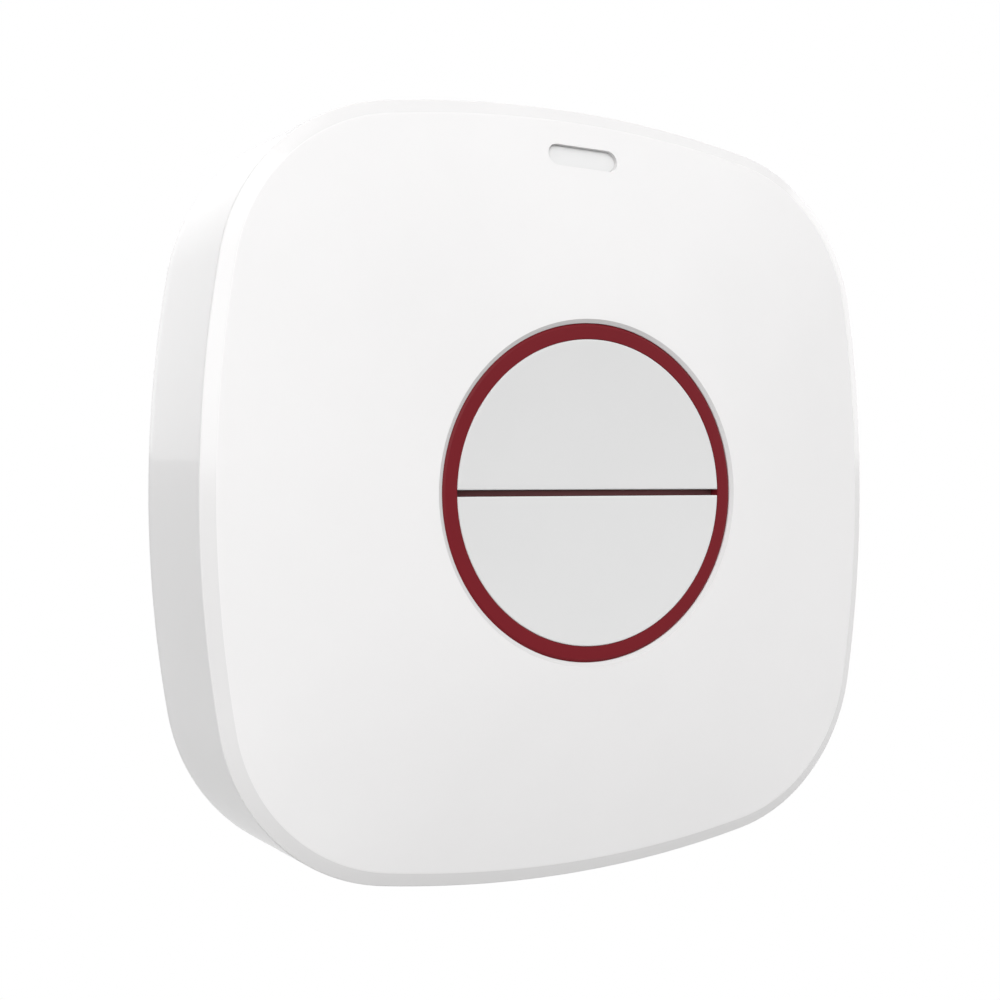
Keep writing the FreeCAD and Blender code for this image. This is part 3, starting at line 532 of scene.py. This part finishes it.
def light_ring(materials):
    """Ring turned from its section, with the bar and its rib across it, the light-pipe legs and the staked lugs."""
    build = Build()
    section = [
        (RING_INNER, FLANGE_BOTTOM),
        (RING_INNER, RING_TOP - RING_INNER_EDGE),
        (RING_INNER + RING_INNER_EDGE, RING_TOP),
        (RING_OUTER - RING_CHAMFER, RING_TOP),
        (RING_OUTER - RING_CHAMFER + RING_CREASE, RING_TOP - RING_CREASE / 10),
        (RING_OUTER - RING_OUTER_EDGE, RING_TOP - RING_CHAMFER_DEPTH),
        (RING_OUTER, RING_TOP - RING_CHAMFER_DEPTH - RING_OUTER_EDGE),
        (RING_OUTER, COLLAR_SEAT),
        (FLANGE, COLLAR_SEAT),
        (FLANGE, FLANGE_BOTTOM),
    ]
    build.add(*lathe(section))
    middle = (RING_INNER + RING_OUTER) / 2
    build.add(*slab(-middle, middle, -BAR_HALF, BAR_HALF, FLANGE_BOTTOM, BAR_TOP))
    # The rib takes the second material, whose brown-grey colour paints the shade and the keys' grey light in the slit.
    build.add(*slab(-middle, middle, -RIB_HALF, RIB_HALF, BAR_TOP, RIB_TOP), kind=1)
    leg = [(RING_INNER, LEG_BOTTOM), (RING_INNER, COLLAR_SEAT), (RING_OUTER, COLLAR_SEAT), (RING_OUTER, LEG_BOTTOM)]
    for bearing in LEG_BEARINGS:
        build.add(*lathe(leg, bearing - LEG_HALF_TURN, bearing + LEG_HALF_TURN, 2 * LEG_HALF_TURN))
    turns = arc_turns(0, 360, LUG_POINTS)[:-1]
    for bearing in STAKE_BEARINGS:
        x = STAKE_CIRCLE * math.cos(math.radians(bearing)) + LUG * np.cos(turns)
        y = STAKE_CIRCLE * math.sin(math.radians(bearing)) + LUG * np.sin(turns)
        build.tube(np.stack([level_ring(x, y, z) for z in (FLANGE_BOTTOM, COLLAR_SEAT)]))
    return build.finish("glow_ring", "housing", "light_ring", "ring_plastic", materials)


def half_moon(inset):
    """Edge of the key's plate moved inwards by inset: the arc of the circle and the straight slit side.

    The arc runs from the bearing where the circle meets the slit side to its mirror image.
    """
    radius = KEY_RADIUS - inset
    low = SLIT_HALF + inset
    start = math.asin(low / radius)
    turns = np.linspace(start, math.pi - start, MOON_ARC_POINTS, endpoint=False)
    along = np.linspace(-1, 1, MOON_EDGE_POINTS, endpoint=False) * radius * math.cos(start)
    return np.append(radius * np.cos(turns), along), np.append(radius * np.sin(turns), np.full(MOON_EDGE_POINTS, low))


def dish(x, y):
    """Height of the key's dished face: a sphere through the rim, DISH deeper in the middle."""
    sphere = (KEY_RADIUS**2 + DISH**2) / (2 * DISH)
    return RING_TOP - DISH + sphere - np.sqrt(sphere**2 - x**2 - y**2)


def key(name, body, replaced, materials, lower):
    """Half-moon key: rings from its middle to its edge at the dish's height, and a rounded edge.

    Behind the plate are the skirt, the bulkhead along the slit, the post and the stop tabs. The lower key is the
    upper one turned by half a turn.
    """
    build = Build()
    rings = []
    edge_x, edge_y = half_moon(KEY_ROUND)
    for share in KEY_SHARES:
        x = edge_x * share
        y = POST_Y + (edge_y - POST_Y) * share
        rings.append(level_ring(x, y, dish(x, y)))
    for turn in np.linspace(0, math.pi / 2, KEY_STEPS)[1:]:
        x, y = half_moon(KEY_ROUND * (1 - math.sin(turn)))
        rings.append(level_ring(x, y, dish(edge_x, edge_y) - KEY_ROUND * (1 - math.cos(turn))))
    rings.append(level_ring(x, y, KEY_UNDERSIDE))
    build.tube(np.stack(rings))
    inner = KEY_RADIUS - SKIRT
    start = math.degrees(math.asin(SKIRT_LOW / KEY_RADIUS))
    section = [(inner, KEY_BOTTOM), (inner, KEY_UNDERSIDE), (KEY_RADIUS, KEY_UNDERSIDE), (KEY_RADIUS, KEY_BOTTOM)]
    build.add(*lathe(section, start, 180 - start, SKIRT_STEPS))
    span = math.sqrt(KEY_RADIUS**2 - (SKIRT_LOW + SKIRT) ** 2)
    build.add(*slab(-span, span, SKIRT_LOW, SKIRT_LOW + SKIRT, FLANGE_BOTTOM, KEY_UNDERSIDE))
    turns = arc_turns(0, 360, POST_POINTS)[:-1]
    x, y = POST * np.cos(turns), POST_Y + POST * np.sin(turns)
    build.tube(np.stack([level_ring(x, y, z) for z in (POST_BOTTOM, KEY_UNDERSIDE)]))
    tab = [(inner, TAB_BOTTOM), (inner, TAB_TOP), (TAB_REACH, TAB_TOP), (TAB_REACH, TAB_BOTTOM)]
    for bearing in TAB_BEARINGS:
        build.add(*lathe(tab, bearing - TAB_HALF_TURN, bearing + TAB_HALF_TURN, TAB_STEPS))
    if lower:
        build.points = [p * np.array([-1.0, -1.0, 1.0]) for p in build.points]
    return build.finish(name, body, replaced, "key_plastic", materials)


def indicator_lens(materials):
    """Light pipe: slot-shaped rings from the window's floor down to the flange and the foot."""
    build = Build()
    end = WINDOW_END - WINDOW_DRAFT - LENS_GAP
    rings = []
    for share in LENS_SHARES:
        x, y = obround(WINDOW_HALF_RUN * share, (end - LENS_ROUND) * share, LENS_POINTS)
        rings.append(level_ring(x, y + WINDOW_Y, dome_height(x, y + WINDOW_Y) - WINDOW_RECESS))
    for turn in np.linspace(0, math.pi / 2, LENS_STEPS):
        x, y = obround(WINDOW_HALF_RUN, end - LENS_ROUND * (1 - math.sin(turn)), LENS_POINTS)
        drop = WINDOW_RECESS + LENS_ROUND * (1 - math.cos(turn))
        rings.append(level_ring(x, y + WINDOW_Y, dome_height(x, y + WINDOW_Y) - drop))
    flange = WINDOW_END + LENS_FLANGE - LENS_FLANGE_GAP
    for run, radius, z in (
        (WINDOW_HALF_RUN, end, LENS_SEAT - LENS_SLACK),
        (WINDOW_HALF_RUN, flange, LENS_SEAT - LENS_SLACK),
        (WINDOW_HALF_RUN, flange, LENS_SEAT - LENS_FLANGE_DEPTH),
        (LENS_FOOT_RUN, LENS_FOOT_END, LENS_SEAT - LENS_FLANGE_DEPTH),
        (LENS_FOOT_RUN, LENS_FOOT_END, LENS_FOOT),
    ):
        x, y = obround(run, radius, LENS_POINTS)
        rings.append(level_ring(x, y + WINDOW_Y, z))
    build.tube(np.stack(rings))
    return build.finish("window_lens", "housing", "indicator_lens", "lens_plastic", materials)


def linear(hex_colour):
    """sRGB hex such as F2F2F0 to a linear RGBA colour."""
    values = [int(hex_colour[i : i + 2], 16) / 255 for i in (0, 2, 4)]
    return [v / 12.92 if v <= 0.04045 else ((v + 0.055) / 1.055) ** 2.4 for v in values] + [1.0]


def add_node(tree, kind, settings=(), inputs=(), links=()):
    """Adds a node: settings are its properties, inputs its socket values and links (socket, source output)."""
    node = tree.nodes.new(kind)
    for name, value in dict(settings).items():
        setattr(node, name, value)
    for name, value in dict(inputs).items():
        node.inputs[name].default_value = value
    for name, source in dict(links).items():
        tree.links.new(source, node.inputs[name])
    return node


def new_material(name):
    material = bpy.data.materials.new(name)
    material.use_nodes = True
    material.node_tree.nodes.clear()
    return material, material.node_tree


# Millimetres in a metre, how far light travels inside a plastic, and how much the roughness of a surface varies
MM = 1000
SCATTER_MM = 0.5
GLOSS_SPREAD = 0.08


def moulded(name, colour, shade, roughness, grain_mm, bump_mm, coat=0.0, coat_roughness=0.1, patch_mm=9.0,
            metallic=0.0, subsurface=0.0, specular=0.5):
    """A moulded or pressed surface: faint patches from colour to shade, a fine grain in height, and uneven gloss.

    Sizes are in millimetres: grain_mm across a grain, bump_mm its height, patch_mm across a patch of colour.
    """
    material, tree = new_material(name)
    place = add_node(tree, "ShaderNodeTexCoord").outputs["Object"]
    patches = add_node(tree, "ShaderNodeTexNoise", inputs={"Scale": MM / patch_mm, "Detail": 3.0},
                       links={"Vector": place})
    tint = add_node(tree, "ShaderNodeMix", {"data_type": "RGBA"}, {"A": linear(colour), "B": linear(shade)},
                    {"Factor": patches.outputs["Fac"]})
    grain = add_node(tree, "ShaderNodeTexNoise", inputs={"Scale": MM / grain_mm, "Detail": 2.0},
                     links={"Vector": place})
    height = add_node(tree, "ShaderNodeBump", inputs={"Strength": 1.0, "Distance": bump_mm / MM},
                      links={"Height": grain.outputs["Fac"]})
    gloss = add_node(tree, "ShaderNodeMapRange",
                     inputs={"To Min": roughness - GLOSS_SPREAD / 2, "To Max": roughness + GLOSS_SPREAD / 2},
                     links={"Value": grain.outputs["Fac"]})
    surface = add_node(
        tree,
        "ShaderNodeBsdfPrincipled",
        inputs={
            "IOR": 1.5,
            "Coat Weight": coat,
            "Coat Roughness": coat_roughness,
            "Metallic": metallic,
            "Subsurface Weight": subsurface,
            "Subsurface Radius": (1.0, 1.0, 1.0),
            "Subsurface Scale": SCATTER_MM / MM,
            "Specular IOR Level": specular,
        },
        links={
            "Base Color": tint.outputs["Result"],
            "Roughness": gloss.outputs["Result"],
            "Normal": height.outputs["Normal"],
        },
    )
    add_node(tree, "ShaderNodeOutputMaterial", links={"Surface": surface.outputs["BSDF"]})
    return material


# White ABS, mould face spark-eroded: bright and soft, with a grain that only shows close up.
# The real grain is about 0.05 mm; it is drawn at 0.2 mm so that it shows.
face_abs = moulded("abs_white_fine_textured", "F7F6F6", "F3F2F2", 0.42, 0.2, 0.0006)
# White ABS from a polished part of the mould: the same colour with a clear gloss on the edge and the sides.
side_abs = moulded("abs_white_polished", "F1F0F0", "EDECEC", 0.3, 0.4, 0.0002, coat=0.35, coat_roughness=0.05,
                   specular=0.3)
# White ABS from a satin part of the mould: the narrow facet round the face, which shows the lamps as a soft sheen. Its
# colour is a little darker than the face's, as painted shade.
facet_abs_painted_shade = moulded("abs_white_satin_painted_shade", "EEEDED", "EAE9E9", 0.2, 0.3, 0.0002, coat=0.5, coat_roughness=0.08)
# White ABS, matt, for the well's bevel and the slot's walls: its colour is a shade greyer than the face, as painted
# shade of these recesses.
recess_abs_painted_shade = moulded("abs_white_matt_painted_shade", "E1E0E0", "DCDBDB", 0.5, 0.2, 0.0006, specular=0.25)
# Pale grey ABS with a matt spark-eroded grain, drawn at 0.16 mm: the keys, an even and dry grey.
key_abs = moulded("abs_pale_grey_matt", "E7E7E7", "E4E4E4", 0.5, 0.16, 0.0012, specular=0.3)
# Dark red polycarbonate, satin: the light ring, unlit, seems deep rather than painted.
ring_pc = moulded("polycarbonate_dark_red", "7A1F27", "741C24", 0.4, 0.3, 0.0004, specular=0.12)
# The same red polycarbonate, matt, on the rib behind the slit: its colour is brown-grey as painted shade of the slit,
# with the keys' grey light painted in.
rib_pc_painted_shade = moulded("polycarbonate_red_painted_shade", "653F40", "5E3A3B", 0.6, 0.3, 0.0004, specular=0.1)
# Milky polycarbonate with diffuser pigment: the indicator's light pipe, soft-edged and a little deeper than white,
# partly from the pigment and partly as painted shade of its recess.
lens_pc = moulded("polycarbonate_milky_painted_shade", "F0F0F0", "ECECEC", 0.35, 0.25, 0.0004, subsurface=0.6)
# White ABS with a coarser matt texture: the rear panel, plainer than the face.
panel_abs = moulded("abs_white_matt", "EFEFEF", "EBEBEB", 0.5, 0.3, 0.002)
# Green solder mask over glass-fibre laminate: glossy, with faint weave-sized patches.
solder_mask = moulded("solder_mask_green", "0F5A34", "0C4E2D", 0.3, 0.5, 0.002, patch_mm=3.0)
# Zinc-plated steel: the screws, bright with a slightly warm grey.
zinc_steel = moulded("steel_zinc_plated", "C9C7BF", "BDBBB4", 0.32, 0.15, 0.001, metallic=1.0)
# Black glass-filled nylon: the switch cases, dull with a fine grain.
black_nylon = moulded("nylon_black_glass_filled", "1C1C1D", "181819", 0.45, 0.2, 0.002)
# Black acetal: the plungers, smoother than the cases.
black_acetal = moulded("acetal_black", "232324", "1F1F20", 0.35, 0.25, 0.001)
# Phosphor resin: the white lamps, pale yellow while unlit.
lamp_resin = moulded("phosphor_resin", "EFE7A8", "E9DF98", 0.25, 0.2, 0.001)
# Nickel-plated steel: the cell and the crystal's can, the brightest metal.
nickel_steel = moulded("steel_nickel_plated", "D3D1CC", "C8C6C1", 0.28, 0.2, 0.0008, metallic=1.0)
# Black PBT: the cell's cradle, matt.
black_pbt = moulded("pbt_black", "202021", "1B1B1C", 0.5, 0.25, 0.003)
# Nickel-plated spring bronze: the contacts, with a yellowish tinge.
spring_bronze = moulded("bronze_nickel_plated", "CFC9B4", "C2BCA8", 0.3, 0.15, 0.001, metallic=1.0)
# Tinned steel: the shield over the radio, a cool satin grey.
tinned_steel = moulded("steel_tinned", "CBCDD0", "BFC1C4", 0.35, 0.4, 0.002, metallic=1.0)
# Black epoxy moulding compound: the controller, matt and finely speckled.
chip_epoxy = moulded("epoxy_black_moulded", "1B1B1E", "17171A", 0.55, 0.12, 0.002)
# Bare copper alloy: the antenna wire, reddish and bright.
copper_wire = moulded("copper_alloy_bare", "C98F5B", "BD8452", 0.3, 0.2, 0.001, metallic=1.0)

front_cover([face_abs, side_abs, facet_abs_painted_shade, recess_abs_painted_shade])
light_ring([ring_pc, rib_pc_painted_shade])
key("upper_keytop", "upper_key", "upper_key", [key_abs], False)
key("lower_keytop", "lower_key", "lower_key", [key_abs], True)
indicator_lens([lens_pc])

CAD_FINISHES = {
    "rear_panel": panel_abs,
    "circuit_board": solder_mask,
    "board_screws": zinc_steel,
    "upper_switch_case": black_nylon,
    "lower_switch_case": black_nylon,
    "tamper_switch_case": black_nylon,
    "upper_switch_plunger": black_acetal,
    "lower_switch_plunger": black_acetal,
    "tamper_switch_plunger": black_acetal,
    "ring_leds": lamp_resin,
    "indicator_led": lamp_resin,
    "coin_cell": nickel_steel,
    "battery_holder": black_pbt,
    "positive_contact": spring_bronze,
    "negative_contact": spring_bronze,
    "radio_shield": tinned_steel,
    "microcontroller": chip_epoxy,
    "crystal": nickel_steel,
    "antenna_wire": copper_wire,
}
for node_name, finish in CAD_FINISHES.items():
    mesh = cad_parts[node_name].data
    mesh.materials.clear()
    mesh.materials.append(finish)


def seen(tree):
    """1 for the rays that show the surroundings: straight from the camera, mirrored or through glass."""
    path = add_node(tree, "ShaderNodeLightPath").outputs
    mirrored = add_node(tree, "ShaderNodeMath", {"operation": "MAXIMUM"},
                        links={0: path["Is Glossy Ray"], 1: path["Is Transmission Ray"]})
    return add_node(tree, "ShaderNodeMath", {"operation": "MAXIMUM"},
                    links={0: path["Is Camera Ray"], 1: mirrored.outputs[0]}).outputs[0]


def white_to_camera(name, colour):
    """Floor finish: white where it is looked at, and the given matt colour for the light."""
    material, tree = new_material(name)
    sight = seen(tree)
    paint = add_node(tree, "ShaderNodeBsdfDiffuse", inputs={"Color": linear(colour)})
    glow = add_node(tree, "ShaderNodeEmission", inputs={"Color": (1, 1, 1, 1), "Strength": 1.0})
    mix = add_node(tree, "ShaderNodeMixShader", links={0: sight, 1: paint.outputs[0], 2: glow.outputs[0]})
    add_node(tree, "ShaderNodeOutputMaterial", links={"Surface": mix.outputs[0]})
    return material


# Floor of two by two metres, far enough below the button to catch no shadow in the picture
FLOOR_HALF = 1
FLOOR_Z = -0.9
floor_mesh = bpy.data.meshes.new("floor")
floor_corners = [(x * FLOOR_HALF, y * FLOOR_HALF, FLOOR_Z) for x, y in ((-1, -1), (1, -1), (1, 1), (-1, 1))]
floor_mesh.from_pydata(floor_corners, [], [(0, 1, 2, 3)])
floor_mesh.materials.append(white_to_camera("floor_pale_matt", "D8D8D7"))
floor = bpy.data.objects.new("floor", floor_mesh)
bpy.context.scene.collection.objects.link(floor)

# Studio surroundings: white to the camera, in reflections and through glass. For the light, each side of the room
# has its own level above and below the horizon, given as (direction, level above, level below).
ROOM_SIDES = (((-1, 0), 0.73, 0.0), ((1, 0), 0.76, 0.24), ((0, 1), 0.0, 0.72), ((0, -1), 0.83, 0.0))
world = bpy.data.worlds.new("studio")
bpy.context.scene.world = world
world.use_nodes = True
sky = world.node_tree
sky.nodes.clear()
direction = add_node(sky, "ShaderNodeTexCoord").outputs["Generated"]
parts = add_node(sky, "ShaderNodeSeparateXYZ", links={"Vector": direction}).outputs
above = add_node(sky, "ShaderNodeMapRange", {"interpolation_type": "SMOOTHSTEP"},
                 {"From Min": -0.05, "From Max": 0.12}, {"Value": parts["Z"]}).outputs["Result"]
level = None
for (east, north), high, low in ROOM_SIDES:
    axis = parts["X"] if east else parts["Y"]
    side = add_node(sky, "ShaderNodeMath", {"operation": "MULTIPLY", "use_clamp": True}, {1: east + north}, {0: axis})
    shade = add_node(sky, "ShaderNodeMapRange", inputs={"To Min": low, "To Max": high}, links={"Value": above})
    share = add_node(sky, "ShaderNodeMath", {"operation": "MULTIPLY"},
                     links={0: side.outputs[0], 1: shade.outputs["Result"]}).outputs[0]
    level = share if level is None else add_node(sky, "ShaderNodeMath", links={0: level, 1: share}).outputs[0]
ambient = add_node(sky, "ShaderNodeBackground", inputs={"Color": (1, 1, 1, 1)}, links={"Strength": level})
backdrop = add_node(sky, "ShaderNodeBackground", inputs={"Color": (1, 1, 1, 1), "Strength": 1.0})
both = add_node(sky, "ShaderNodeMixShader", links={0: seen(sky), 1: ambient.outputs[0], 2: backdrop.outputs[0]})
add_node(sky, "ShaderNodeOutputWorld", links={"Surface": both.outputs[0]})


def softbox(name, place, size, power):
    """Rectangular soft light aimed at the middle of the button, its size in metres and its power in watts."""
    lamp = bpy.data.lights.new(name, "AREA")
    lamp.shape = "RECTANGLE"
    lamp.size, lamp.size_y = size
    lamp.energy = power
    holder = bpy.data.objects.new(name, lamp)
    holder.location = place
    holder.rotation_euler = (-Vector(place)).to_track_quat("-Z", "Y").to_euler()
    bpy.context.scene.collection.objects.link(holder)


softbox("front_light", (-0.622, -1.335, 0.625), (1.3, 1.3), 13.1)
softbox("upper_light", (-0.566, -0.566, 1.386), (1.3, 1.3), 5.25)
softbox("right_light", (1.529, 0.053, 0.468), (1.1, 0.9), 2.25)
softbox("edge_light", (-0.188, 1.530, 0.428), (1.1, 0.78), 1.8)

# Camera fitted to the photograph's perspective
camera_data = bpy.data.cameras.new("photo_camera")
camera_data.sensor_width = 36.0
camera_data.lens = 48.154
camera_data.shift_x = -0.04
camera_data.shift_y = -0.014
camera_data.clip_start = 0.005
camera = bpy.data.objects.new("photo_camera", camera_data)
camera_place = (-0.059973, -0.110062, 0.0010125)
azimuth, rise = math.radians(-30.073), math.radians(0.226)
back = Vector((math.sin(azimuth) * math.cos(rise), -math.cos(azimuth) * math.cos(rise), math.sin(rise)))
right = Vector((0, 0, 1)).cross(back).normalized()
turn = Matrix((right, back.cross(right), back)).transposed().to_4x4()
camera.matrix_world = Matrix.Translation(camera_place) @ turn
bpy.context.scene.collection.objects.link(camera)
bpy.context.scene.camera = camera
bpy.context.scene.view_settings.view_transform = "Standard"
